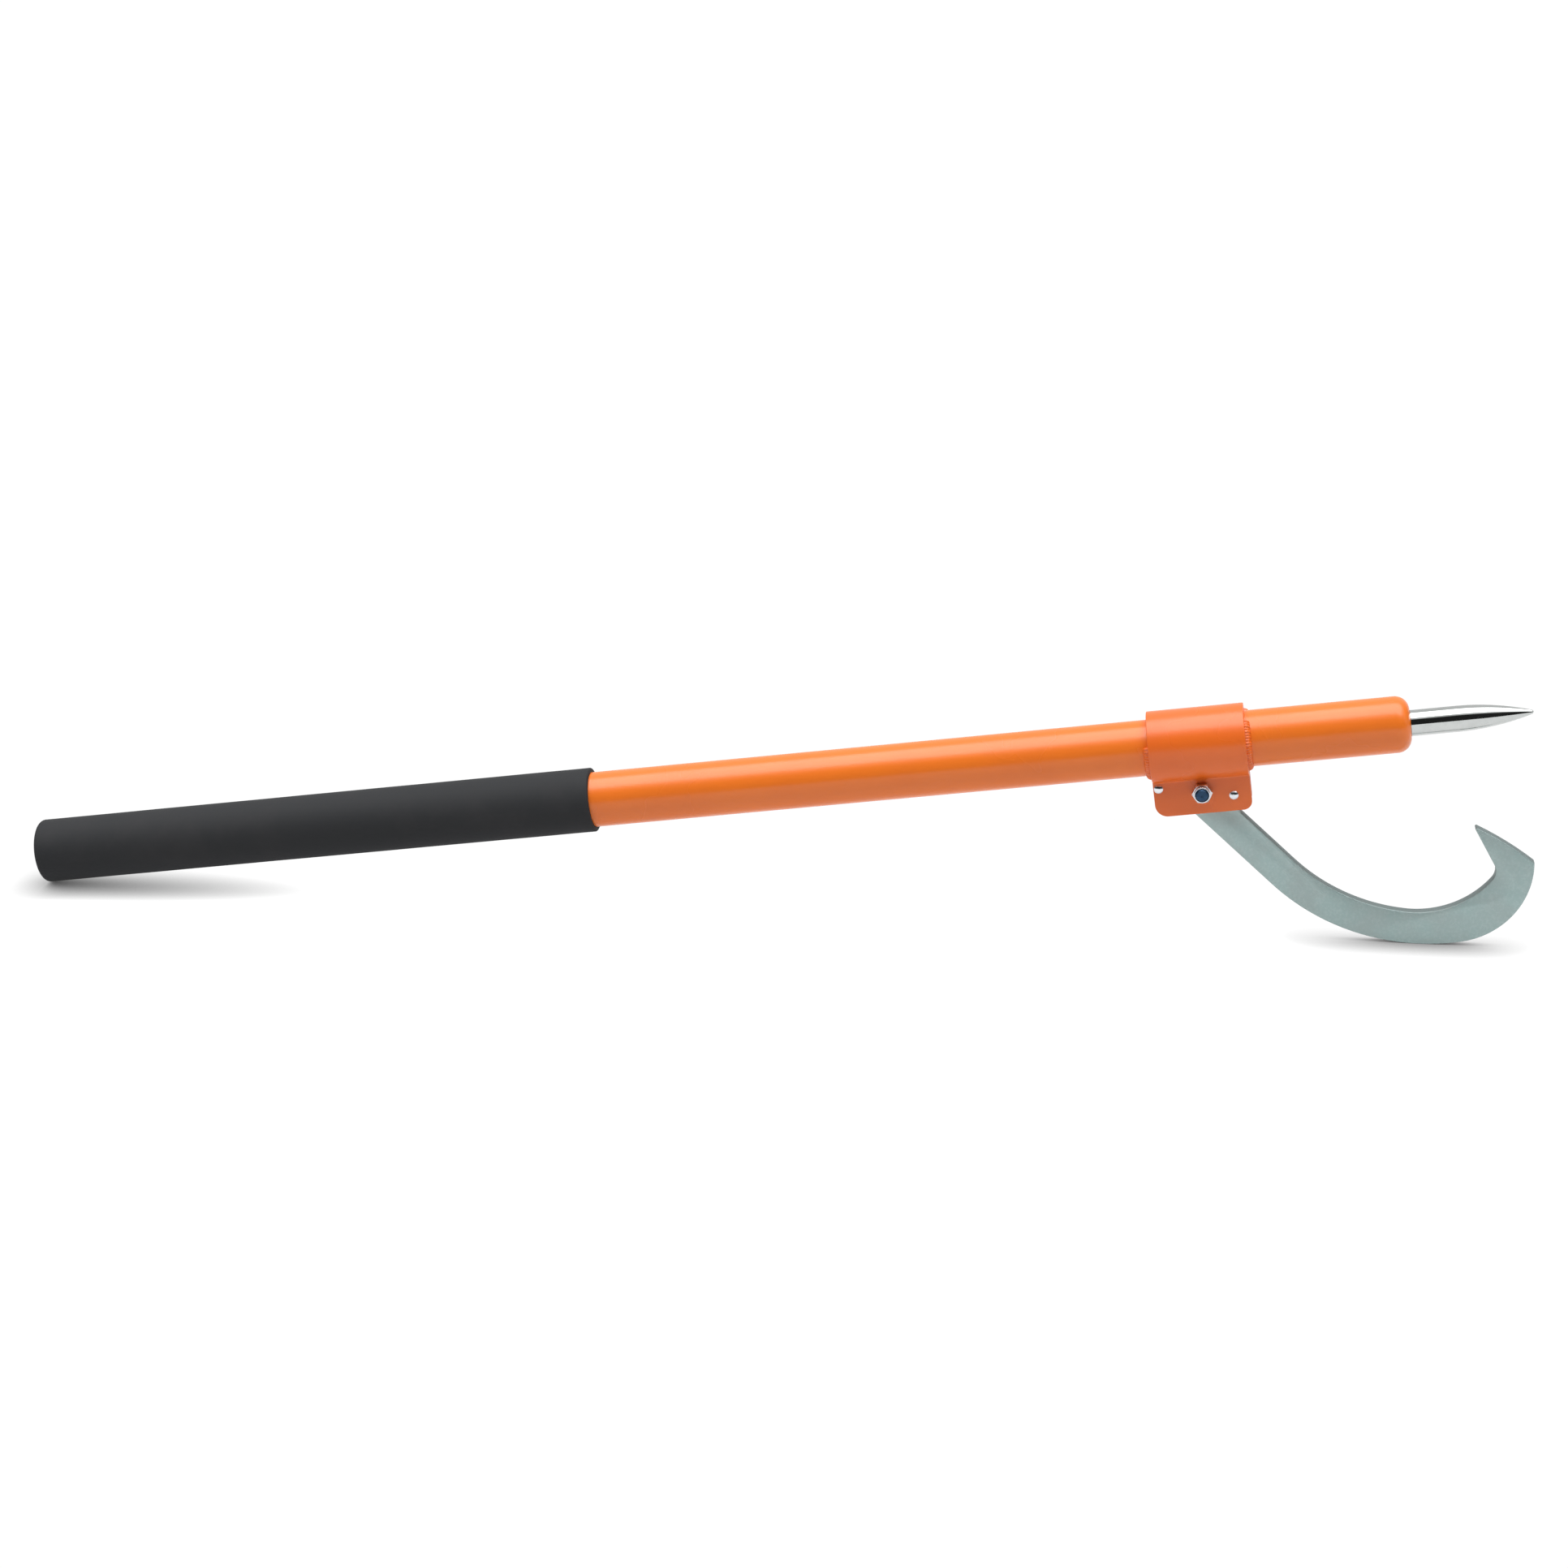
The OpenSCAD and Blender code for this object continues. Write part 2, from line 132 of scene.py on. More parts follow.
def turnPiece(name, rings, segments, hollow=False):    # lathe work: (x, radius) rings along x
    deselectAll()
    x, radius = rings[0]
    bpy.ops.mesh.primitive_circle_add(vertices=segments, radius=radius, location=(x, 0, 0),
                                      rotation=(0, math.pi / 2, 0))
    piece = editNew(name)
    for nextX, nextRadius in rings[1:]:
        extrudeBy(x=nextX - x)
        bpy.ops.transform.resize(value=(1, nextRadius / radius, nextRadius / radius))
        x, radius = nextX, nextRadius
    bpy.ops.mesh.select_all(action="SELECT")
    if hollow:
        bpy.ops.mesh.remove_doubles(threshold=mergeGap)
    else:
        bpy.ops.mesh.fill_holes(sides=0)
    bpy.ops.mesh.normals_make_consistent(inside=False)
    bpy.ops.object.mode_set(mode="OBJECT")
    return piece


def finishPiece(piece, space, body, nodeName, material, smoothAngle=35):
    deselectAll()
    piece.select_set(True)
    bpy.context.view_layer.objects.active = piece
    piece.matrix_world = space @ piece.matrix_world
    bpy.ops.object.transform_apply(location=True, rotation=True, scale=True)
    bpy.ops.object.shade_smooth_by_angle(angle=math.radians(smoothAngle))
    piece.data.materials.clear()
    piece.data.materials.append(material)
    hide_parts(nodeName)
    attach(piece, body)


# Node helpers
def addNode(tree, kind, settings=None, values=None):
    node = tree.nodes.new(kind)
    for key, value in (settings or {}).items():
        setattr(node, key, value)
    for key, value in (values or {}).items():
        node.inputs[key].default_value = value
    return node


def addMath(tree, operation, *terms):              # numbers or the outputs of other nodes
    node = addNode(tree, "ShaderNodeMath", {"operation": operation})
    for place, term in enumerate(terms):
        if isinstance(term, float):
            node.inputs[place].default_value = term
        else:
            tree.links.new(term, node.inputs[place])
    return node.outputs["Value"]


# What runs from start to stop becomes a value from low to high
def mapValue(tree, source, low, high, start=0.0, stop=1.0, kind="LINEAR"):
    span = addNode(tree, "ShaderNodeMapRange", {"interpolation_type": kind},
                   {"From Min": start, "From Max": stop, "To Min": low, "To Max": high})
    tree.links.new(source, span.inputs["Value"])
    return span.outputs["Result"]


def mixColours(tree, mask, first, second):         # colours or the outputs of other nodes
    mix = addNode(tree, "ShaderNodeMix", {"data_type": "RGBA"})
    for place, colour in ((6, first), (7, second)):
        if isinstance(colour, tuple):
            mix.inputs[place].default_value = (*colour, 1)
        else:
            tree.links.new(colour, mix.inputs[place])
    tree.links.new(mask, mix.inputs[0])
    return mix.outputs[2]


def makeGrainGroup():                  # noise whose middle is stretched to a mask from 0 to 1
    group = bpy.data.node_groups.new("grain", "ShaderNodeTree")
    for label, kind, value in (("Vector", "Vector", None), ("Scale", "Float", 100.0),
                               ("Detail", "Float", 4.0), ("Roughness", "Float", 0.55),
                               ("From", "Float", 0.35), ("To", "Float", 0.65)):
        socket = group.interface.new_socket(name=label, in_out="INPUT", socket_type="NodeSocket" + kind)
        if value is not None:
            socket.default_value = value
    for label in ("Mask", "Height"):
        group.interface.new_socket(name=label, in_out="OUTPUT", socket_type="NodeSocketFloat")
    given = addNode(group, "NodeGroupInput")
    result = addNode(group, "NodeGroupOutput")
    noise = addNode(group, "ShaderNodeTexNoise")
    stretch = addNode(group, "ShaderNodeMapRange", {"interpolation_type": "SMOOTHSTEP"})
    for label in ("Vector", "Scale", "Detail", "Roughness"):
        group.links.new(given.outputs[label], noise.inputs[label])
    group.links.new(noise.outputs["Fac"], stretch.inputs["Value"])
    group.links.new(given.outputs["From"], stretch.inputs["From Min"])
    group.links.new(given.outputs["To"], stretch.inputs["From Max"])
    group.links.new(stretch.outputs["Result"], result.inputs["Mask"])
    group.links.new(noise.outputs["Fac"], result.inputs["Height"])
    return group


grainGroup = makeGrainGroup()


# Material helpers
def newMaterial(name, fixed):          # fixed: values that are the same all over
    material = bpy.data.materials.new(name)
    material.use_nodes = True
    tree = material.node_tree
    shader = tree.nodes["Principled BSDF"]
    for key, value in fixed.items():
        shader.inputs[key].default_value = value
    return material, tree, shader


def alongShaft(tree):                  # a point's place, with x along the tilted shaft
    coordinates = addNode(tree, "ShaderNodeTexCoord")
    turned = addNode(tree, "ShaderNodeMapping", {"vector_type": "TEXTURE"},
                     {"Rotation": (0, -shaftTilt, 0)})
    tree.links.new(coordinates.outputs["Object"], turned.inputs["Vector"])
    return turned.outputs["Vector"]


def addGrain(tree, source, scale, detail, low=0.35, high=0.65):
    grain = addNode(tree, "ShaderNodeGroup", {"node_tree": grainGroup},
                    {"Scale": scale, "Detail": detail, "From": low, "To": high})
    tree.links.new(source, grain.inputs["Vector"])
    return grain


def addClouds(tree, shader, source, grain, colours, roughness):    # uneven tone and gloss
    mask = addGrain(tree, source, *grain).outputs["Mask"]
    tone = mixColours(tree, mask, *colours)
    tree.links.new(tone, shader.inputs["Base Color"])
    tree.links.new(mapValue(tree, mask, *roughness), shader.inputs["Roughness"])
    return tone


def addBump(tree, shader, height, strength, distance, before=None):
    bump = addNode(tree, "ShaderNodeBump", values={"Strength": strength, "Distance": distance})
    tree.links.new(height, bump.inputs["Height"])
    if before:
        tree.links.new(before, bump.inputs["Normal"])
    tree.links.new(bump.outputs["Normal"], shader.inputs["Normal"])
    return bump.outputs["Normal"]


# Finishes. A grain is its cells to the metre, its detail and, if not the usual one, the span of
# noise that its mask stretches. A bump is its strength and height.
coatLook = {
    "clouds": (14.0, 3.0),
    "gloss": (-0.02, 0.03),        # how far the clouds shift the coat's roughness
    "peel": (420.0, 2.0),
    "peelBump": (0.16, 0.25 * mm),
    "specks": (2600.0, 2.0, 0.6, 0.75),
    "speckBump": (0.06, 0.05 * mm),
}
rubberLook = {
    "colours": ((0.028, 0.029, 0.031), (0.035, 0.035, 0.037)),
    "roughness": (0.68, 0.80),
    "shine": 0.14,
    "scuffs": (22.0, 6.0, 0.45, 0.75),
    "skin": (1500.0, 3.0),
    "skinBump": (0.35, 0.12 * mm),
    "waves": (60.0, 2.0),
    "waveBump": (0.2, 0.3 * mm),
}
zincLook = {
    "colours": ((0.37, 0.485, 0.475), (0.43, 0.525, 0.515)),
    "roughness": (0.5, 0.62),
    "clouds": (38.0, 5.0),
    "freckle": (0.57, 0.66, 0.65),
    "freckles": (520.0, 4.0, 0.42, 0.7),
    "freckleBlend": 0.25,
    "freckleBump": (0.25, 0.08 * mm),
    "rim": (0.19, 0.225, 0.225),
    "rimTurn": (0.9, 0.3),         # sideways part of the normal, where the rim starts and is whole
    "rimBlend": 0.8,
    "cut": (900.0, 2.0),           # lines that the cutter left on the rim
    "cutStretch": (1.0, 0.03, 1.0),
    "cutBump": (0.5, 0.25 * mm),
}
steelLook = {
    "clouds": (160.0, 4.0),
    "gloss": (0.85, 1.25),         # what the clouds multiply the roughness by
    "ringDetail": 2.0,
    "ringBump": (0.08, 0.05 * mm),
    "pits": (1800.0, 3.0),
    "pitBump": (0.15, 0.04 * mm),
}
plasticLook = {
    "clouds": (120.0, 4.0),
    "gloss": (-0.05, 0.05),
    "grain": (2200.0, 2.0),
    "grainBump": (0.2, 0.05 * mm),
}


def makeCoat(name, light, dark, roughness):        # satin powder coat with its fine orange peel
    material, tree, shader = newMaterial(name, {"IOR": 1.5, "Metallic": 0.0})
    along = alongShaft(tree)
    addClouds(tree, shader, along, coatLook["clouds"], (light, dark),
              [roughness + shift for shift in coatLook["gloss"]])
    peel = addGrain(tree, along, *coatLook["peel"])
    peeled = addBump(tree, shader, peel.outputs["Height"], *coatLook["peelBump"])
    specks = addGrain(tree, along, *coatLook["specks"])
    addBump(tree, shader, specks.outputs["Mask"], *coatLook["speckBump"], before=peeled)
    return material


def makeRubber():                      # dull black rubber with a fine skin and faint scuffs
    material, tree, shader = newMaterial(
        "gripRubber", {"IOR": 1.5, "Specular IOR Level": rubberLook["shine"]})
    along = alongShaft(tree)
    addClouds(tree, shader, along, rubberLook["scuffs"], rubberLook["colours"], rubberLook["roughness"])
    skin = addGrain(tree, along, *rubberLook["skin"])
    skinned = addBump(tree, shader, skin.outputs["Height"], *rubberLook["skinBump"])
    waves = addGrain(tree, along, *rubberLook["waves"])
    addBump(tree, shader, waves.outputs["Height"], *rubberLook["waveBump"], before=skinned)
    return material


def makeHookZinc():                    # dull zinc plating on rolled plate, darker on the cut rim
    material, tree, shader = newMaterial("hookZinc", {"Metallic": 1.0})
    coordinates = addNode(tree, "ShaderNodeTexCoord")
    place = coordinates.outputs["Object"]
    facing = addNode(tree, "ShaderNodeSeparateXYZ")
    tree.links.new(coordinates.outputs["Normal"], facing.inputs["Vector"])
    sideways = addMath(tree, "ABSOLUTE", facing.outputs["Y"])
    rim = mapValue(tree, sideways, 0.0, 1.0, *zincLook["rimTurn"])
    sheet = addClouds(tree, shader, place, zincLook["clouds"], zincLook["colours"], zincLook["roughness"])
    freckles = addGrain(tree, place, *zincLook["freckles"])
    freckled = mapValue(tree, freckles.outputs["Mask"], 0.0, zincLook["freckleBlend"])
    sheet = mixColours(tree, freckled, sheet, zincLook["freckle"])
    sheet = mixColours(tree, mapValue(tree, rim, 0.0, zincLook["rimBlend"]), sheet, zincLook["rim"])
    tree.links.new(sheet, shader.inputs["Base Color"])
    across = addNode(tree, "ShaderNodeMapping", values={"Scale": zincLook["cutStretch"]})
    tree.links.new(place, across.inputs["Vector"])
    cut = addGrain(tree, across.outputs["Vector"], *zincLook["cut"])
    lines = addMath(tree, "MULTIPLY", cut.outputs["Height"], rim)
    lined = addBump(tree, shader, lines, *zincLook["cutBump"])
    addBump(tree, shader, freckles.outputs["Height"], *zincLook["freckleBump"], before=lined)
    return material


def makeSteel(name, light, dark, roughness, ringPitch=0.0):    # turned steel has rings, plated has pits
    material, tree, shader = newMaterial(name, {"Metallic": 1.0})
    along = alongShaft(tree)
    addClouds(tree, shader, along, steelLook["clouds"], (light, dark),
              [roughness * share for share in steelLook["gloss"]])
    if ringPitch:
        rings = addNode(tree, "ShaderNodeTexNoise", {"noise_dimensions": "1D"},
                        {"Scale": 1 / ringPitch, "Detail": steelLook["ringDetail"]})
        split = addNode(tree, "ShaderNodeSeparateXYZ")
        tree.links.new(along, split.inputs["Vector"])
        tree.links.new(split.outputs["X"], rings.inputs["W"])
        addBump(tree, shader, rings.outputs["Fac"], *steelLook["ringBump"])
    else:
        pits = addGrain(tree, along, *steelLook["pits"])
        addBump(tree, shader, pits.outputs["Height"], *steelLook["pitBump"])
    return material


def makePlastic(name, light, dark, roughness):     # moulded plastic with its fine texture
    material, tree, shader = newMaterial(name, {"IOR": 1.5})
    along = alongShaft(tree)
    addClouds(tree, shader, along, plasticLook["clouds"], (light, dark),
              [roughness + shift for shift in plasticLook["gloss"]])
    grain = addGrain(tree, along, *plasticLook["grain"])
    addBump(tree, shader, grain.outputs["Height"], *plasticLook["grainBump"])
    return material


shaftCoat = makeCoat("shaftCoat", (0.80, 0.176, 0.018), (0.775, 0.166, 0.017), roughness=0.25)
# painted shade: the saddle and its welds get a redder, slightly darker copy of the shaft's coat, standing in for
# the shade under the tube
shadedSaddleCoat = makeCoat("shadedSaddleCoat", (0.78, 0.143, 0.016), (0.755, 0.134, 0.015), roughness=0.28)
gripRubber = makeRubber()
hookZinc = makeHookZinc()
spikeSteel = makeSteel("spikeSteel", (0.59, 0.61, 0.60), (0.55, 0.57, 0.56), roughness=0.08,
                       ringPitch=0.35 * mm)
brightZinc = makeSteel("brightZinc", (0.78, 0.80, 0.83), (0.70, 0.73, 0.78), roughness=0.22)
boltSteel = makeSteel("boltSteel", (0.045, 0.095, 0.17), (0.03, 0.06, 0.11), roughness=0.3)
plainSteel = makeSteel("plainSteel", (0.36, 0.35, 0.34), (0.28, 0.27, 0.26), roughness=0.35)
insertNylon = makePlastic("insertNylon", (0.020, 0.075, 0.16), (0.015, 0.05, 0.11), roughness=0.35)
plugPlastic = makePlastic("plugPlastic", (0.022, 0.022, 0.023), (0.016, 0.016, 0.017), roughness=0.5)
print("materials made")

# Grip
gripLook = {
    "boreGap": 0.03 * mm,
    "endRound": 4.0 * mm,          # rounding of the rim at the closed end
    "endSteps": 10,
    "rimBevel": 1.2 * mm,          # bevel at the open end
    "rimPoint": (0.4, 0.35),       # the point that rounds the bevel, along and inward, as shares of it
    "dimple": (3.0 * mm, 0.8 * mm),    # radius and depth of the moulding's gate mark
    "dimpleFloor": 0.7,            # share of that radius that is flat
    "swell": 0.08 * mm,            # how unevenly the rubber is drawn over the tube
    "swellWaves": ((41, 0.0, 0.6), (97, 1.3, 0.4)),    # pace along the grip, shift, share
    "ringStep": 10 * mm,
}


def makeGrip():
    end = measure("grip_sleeve")["end"]
    plugStart = measure("butt_plug")["start"]
    outer = mounts["grip"]["dims"]["r_mm"] * mm
    bore = measure("shaft_tube")["outer"] + gripLook["boreGap"]
    corner, bevel = gripLook["endRound"], gripLook["rimBevel"]
    pointAlong, pointIn = gripLook["rimPoint"]
    dimpleRadius, dimpleDepth = gripLook["dimple"]
    rings = [(dimpleDepth, tiny), (dimpleDepth, dimpleRadius * gripLook["dimpleFloor"]), (0, dimpleRadius)]
    rings += arcRings(corner, outer - corner, corner, 180, 90, gripLook["endSteps"])
    straight = end - bevel - corner
    steps = int(straight / gripLook["ringStep"])
    for i in range(1, steps):
        x = corner + straight * i / steps
        wave = sum(share * math.sin(x * pace + shift) for pace, shift, share in gripLook["swellWaves"])
        rings.append((x, outer - gripLook["swell"] * (1 + wave) / 2))
    rings += [(end - bevel, outer), (end - pointAlong * bevel, outer - pointIn * bevel),
              (end, outer - bevel), (end, bore), (plugStart, bore), (plugStart, tiny)]
    piece = turnPiece("gripSleeve", rings, shaftSegments)
    finishPiece(piece, shaftSpace, "handle", "grip_sleeve", gripRubber)


makeGrip()
print("grip made")

# Tube and nose, painted as one
tubeLook = {
    "endChamfer": 0.3 * mm,
    "rings": 24,                   # along its length
}
noseLook = {
    "round": 11.2 * mm,            # rounding of the shoulder
    "roundSteps": 16,
    "spigotGap": 0.03 * mm,
    "tangBore": 7.03 * mm,
    "tangDepth": 55 * mm,
}


def makeTube():
    size = measure("shaft_tube")
    start, end, inner, outer = size["start"], size["end"], size["inner"], size["outer"]
    chamfer, steps = tubeLook["endChamfer"], tubeLook["rings"]
    rings = [(start, inner), (start, outer - chamfer), (start + chamfer, outer)]
    rings += [(start + chamfer + (end - start - chamfer) * i / steps, outer) for i in range(1, steps + 1)]
    rings += [(end, inner), (start, inner)]
    piece = turnPiece("shaftTube", rings, shaftSegments, hollow=True)
    finishPiece(piece, shaftSpace, "handle", "shaft_tube", shaftCoat)


def makeNose():
    size = measure("nose_plug")
    tube = measure("shaft_tube")
    start, face, outer = size["start"], size["end"], tube["outer"]
    spigot = tube["inner"] - noseLook["spigotGap"]
    corner, bore, depth = noseLook["round"], noseLook["tangBore"], noseLook["tangDepth"]
    rings = [(start, tiny), (start, spigot), (tube["end"], spigot), (tube["end"], outer)]
    rings += arcRings(face - corner, outer - corner, corner, 90, 0, noseLook["roundSteps"])
    rings += [(face, bore), (face - depth, bore), (face - depth, tiny)]
    piece = turnPiece("noseShoulder", rings, shaftSegments)
    finishPiece(piece, shaftSpace, "handle", "nose_plug", shaftCoat)


makeTube()
makeNose()
print("tube and nose made")

# Spike
spikeLook = {
    "segments": 128,
    "sideSteps": 28,
    "pointRound": 1.8 * mm,
    "pointSteps": 6,
    "pointOpen": 6,                # degrees from the axis at which the point's rounding ends
    "tangRadius": 7.0 * mm,
    "rootChamfer": 0.3 * mm,
}


def makeSpike():
    size = measure("spike")
    face = measure("nose_plug")["end"]
    root = mounts["spike_root"]["dims"]
    radius, rootEnd = root["r_mm"] * mm, face + root["length_mm"] * mm
    point, tang, chamfer = spikeLook["pointRound"], spikeLook["tangRadius"], spikeLook["rootChamfer"]
    taper = size["end"] - rootEnd
    bow = ((taper - point) ** 2 + radius ** 2 - point ** 2) / (2 * (radius - point))
    sweep = math.degrees(math.asin((taper - point) / (bow - point)))
    rings = [(size["start"], tiny), (size["start"], tang), (face, tang), (face, radius - chamfer),
             (face + chamfer, radius)]
    rings += arcRings(rootEnd, radius - bow, bow, 90, 90 - sweep, spikeLook["sideSteps"])
    rings += arcRings(size["end"] - point, 0, point, 90 - sweep, spikeLook["pointOpen"],
                      spikeLook["pointSteps"])[1:]
    piece = turnPiece("spikePoint", rings, spikeLook["segments"])
    finishPiece(piece, shaftSpace, "handle", "spike", spikeSteel)


makeSpike()
print("spike made")

# Saddle: a strap bent over the tube with an ear on each side of the hook
saddleLook = {
    "thickness": 6.35 * mm,
    "wrapSteps": 112,              # around the tube
    "bendRadius": 2.5 * mm,        # outer face, between the wrap and an ear
    "bendSteps": 8,
    "rearCorner": 10 * mm,
    "frontCorner": 7 * mm,
    "cornerSteps": 12,
    "edgeRound": 0.6 * mm,
    "edgeSteps": 3,
    "edgeAngle": 50,               # degrees, only sharper edges are rounded
    "boltHole": 4.88 * mm,
    "rivetHole": 2.52 * mm,
    "holeSides": 48,
}


def makeSaddle():
    size = measure("saddle")
    start, end, bottom, wrap = size["start"], size["end"], size["low"], size["high"]
    thickness, bend = saddleLook["thickness"], saddleLook["bendRadius"]
    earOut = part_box("pivot_sleeve")[1].y + thickness
    bendY = earOut + bend
    bendZ = -math.sqrt((wrap + bend) ** 2 - bendY ** 2)
    bendAngle = math.atan2(-bendZ, bendY)
    deselectAll()
    bpy.ops.mesh.primitive_plane_add(size=mm, location=(start, -earOut, bottom))
    piece = editNew("saddleStrap")
    bpy.ops.mesh.merge(type="CENTER")
    extrudeBy(z=bendZ - bottom)
    for steps, angle, y, z in ((saddleLook["bendSteps"], -bendAngle, -bendY, bendZ),
                               (saddleLook["wrapSteps"], math.pi + 2 * bendAngle, 0, 0),
                               (saddleLook["bendSteps"], -bendAngle, bendY, bendZ)):
        bpy.ops.mesh.spin(steps=steps, angle=angle, center=(start, y, z), axis=(1, 0, 0))
    extrudeBy(z=bottom - bendZ)
    bpy.ops.mesh.select_all(action="SELECT")
    bpy.ops.mesh.remove_doubles(threshold=mergeGap)
    extrudeBy(x=end - start)
    near = 10 * mergeGap
    for x, corner in ((start, "rearCorner"), (end, "frontCorner")):
        selectWhere(piece, lambda p: abs(p.x - x) < near and abs(p.z - bottom) < near)
        bpy.ops.mesh.bevel(affect="VERTICES", offset=saddleLook[corner], segments=saddleLook["cornerSteps"])
    bpy.ops.mesh.select_all(action="SELECT")
    bpy.ops.mesh.normals_make_consistent(inside=False)
    top = max(bmesh.from_edit_mesh(piece.data).faces, key=lambda face: face.calc_center_median().z)
    if top.normal.z < 0:               # the strap is thickened inward from its outer face
        bpy.ops.mesh.flip_normals()
    bpy.ops.object.mode_set(mode="OBJECT")
    useModifier(piece, "SOLIDIFY", thickness=thickness, offset=-1, use_even_offset=True)
    useModifier(piece, "BEVEL", width=saddleLook["edgeRound"], segments=saddleLook["edgeSteps"],
                limit_method="ANGLE", angle_limit=math.radians(saddleLook["edgeAngle"]))
    for place, hole in ((pivot, "boltHole"), (centreOf("front_stop_rivet"), "rivetHole"),
                        (centreOf("rear_stop_rivet"), "rivetHole")):
        deselectAll()
        bpy.ops.mesh.primitive_cylinder_add(
            vertices=saddleLook["holeSides"], radius=saddleLook[hole], depth=4 * earOut,
            location=shaftSpace.inverted() @ place, rotation=(math.pi / 2, 0, 0))
        cutAway(piece, bpy.context.object)
    finishPiece(piece, shaftSpace, "handle", "saddle", shadedSaddleCoat, smoothAngle=40)


makeSaddle()
print("saddle made")

# Weld beads: overlapping ripples around the tube at both ends of the strap
weldLook = {
    "ripple": (4.5 * mm, 1.9 * mm, 4.4 * mm),      # half sizes along, around and out of the tube
    "rippleSides": 20,
    "rippleRings": 12,
    "step": 1.9 * mm,
    "uneven": 0.10,                # share by which a ripple may be smaller
    "sway": 2,                     # times that share, in mm, is how far in or out a ripple may lie
    "lowest": -57,                 # degrees from the tube's side
    "rearTop": 14,
    "frontTop": 49,
    "voxel": 0.40 * mm,
    "smoothing": 0.5,
    "smoothPasses": 3,
}


def layWeld(name, nodeName, station, topAngle, seed):
    chance = random.Random(seed)
    radius = measure("shaft_tube")["outer"]
    lowest, uneven, sway = weldLook["lowest"], weldLook["uneven"], weldLook["sway"]
    sides, rings = weldLook["rippleSides"], weldLook["rippleRings"]
    count = int(math.radians(topAngle - lowest) * radius / weldLook["step"])
    deselectAll()
    bpy.ops.mesh.primitive_uv_sphere_add(segments=sides, ring_count=rings, radius=mm,
                                         location=(station, 0, 0))
    piece = editNew(name)
    bpy.ops.mesh.delete(type="VERT")   # every ripple is added to this emptied mesh
    for side in (0, 1):
        for i in range(count + 1):
            angle = math.radians(lowest + (topAngle - lowest) * i / count)
            angle = math.pi - angle if side else angle
            grow = 1 - uneven * chance.random()
            reach = radius + uneven * mm * chance.uniform(-sway, sway)
            place = (station, reach * math.cos(angle), reach * math.sin(angle))
            bpy.ops.mesh.primitive_uv_sphere_add(
                segments=sides, ring_count=rings, radius=1, location=place,
                rotation=(angle - math.pi / 2, 0, 0), scale=[grow * half for half in weldLook["ripple"]])
    bpy.ops.object.mode_set(mode="OBJECT")
    useModifier(piece, "REMESH", mode="VOXEL", voxel_size=weldLook["voxel"])
    useModifier(piece, "SMOOTH", factor=weldLook["smoothing"], iterations=weldLook["smoothPasses"])
    finishPiece(piece, shaftSpace, "handle", nodeName, shadedSaddleCoat, smoothAngle=180)


saddleSize = measure("saddle")
layWeld("rearWeld", "rear_weld", saddleSize["start"], weldLook["rearTop"], seed=3)
layWeld("frontWeld", "front_weld", saddleSize["end"], weldLook["frontTop"], seed=5)
print("welds laid")

# Hook: the CAD plate with its edges rounded
hookLook = {
    "mergeGap": 0.005 * mm,
    "flatAngle": 0.4,              # degrees, flatter edges are dissolved
    "edgeRound": 0.7 * mm,
    "edgeSteps": 3,
    "edgeAngle": 60,               # degrees, only sharper edges are rounded
}


def makeHook():
    mesh = frame["nodes"]["hook"].data.copy()
    piece = bpy.data.objects.new("hookPlate", mesh)
    bpy.context.scene.collection.objects.link(piece)
    deselectAll()
    piece.select_set(True)
    bpy.context.view_layer.objects.active = piece
    bpy.ops.object.mode_set(mode="EDIT")
    bpy.ops.mesh.customdata_custom_splitnormals_clear()
    bpy.ops.mesh.select_all(action="SELECT")
    bpy.ops.mesh.remove_doubles(threshold=hookLook["mergeGap"])
    bpy.ops.mesh.dissolve_limited(angle_limit=math.radians(hookLook["flatAngle"]))
    bpy.ops.object.mode_set(mode="OBJECT")
    useModifier(piece, "BEVEL", width=hookLook["edgeRound"], segments=hookLook["edgeSteps"],
                limit_method="ANGLE", angle_limit=math.radians(hookLook["edgeAngle"]))
    finishPiece(piece, Matrix.Identity(4), "hook", "hook", hookZinc, smoothAngle=30)


makeHook()
print("hook made")

# Fasteners
hexLook = {
    "acrossFlats": 14.3 * mm,
    "segments": 96,                # sides of the nut, the bolt and the nylon ring before the flats
    "spare": 2 * mm,               # how far the blank stands out past the corners
    "narrowFrom": 0.45,            # share of its height at which the blank starts to narrow
    "cornerBevel": 1.2 * mm,
    "edgeRound": 0.15 * mm,
    "edgeSteps": 2,
}
nutLook = {
    "height": 6.6 * mm,
    "boreGap": 0.03 * mm,
    "collar": 2.8 * mm,
    "collarStep": 0.6 * mm,
    "collarWall": 0.9 * mm,
    "collarRound": 0.7 * mm,
    "roundSteps": 6,
}
insertLook = {
    "recess": 0.5 * mm,            # how far it lies below the collar's rim
    "gap": 0.02 * mm,
    "outerBevel": (0.2 * mm, 0.25 * mm),   # down and inward
    "innerBevel": (0.3 * mm, 0.35 * mm),   # down and outward
}
boltLook = {
    "headHeight": 6 * mm,
    "radius": 4.76 * mm,
    "threadStart": 0.2 * mm,       # from the ear
    "threadDepth": 0.35 * mm,
    "threadPitch": 1.06 * mm,
    "standsOut": 1 * mm,
    "endBevel": 0.7 * mm,
    "endDish": (1.2 * mm, 0.3 * mm),   # radius and depth of the hollow in its end
}
rivetLook = {
    "segments": 64,
    "shank": 2.4 * mm,
    "headRadius": 3.6 * mm,
    "headHeight": 1.8 * mm,
    "rim": 0.3 * mm,               # short upright rim under the dome
    "rimBevel": (0.1 * mm, 0.4),   # inward, and as a share of the rim's height
    "domeSteps": 12,
    "flat": 0.8 * mm,              # radius of the flat that the setting tool leaves
    "flatDip": 0.02 * mm,
}


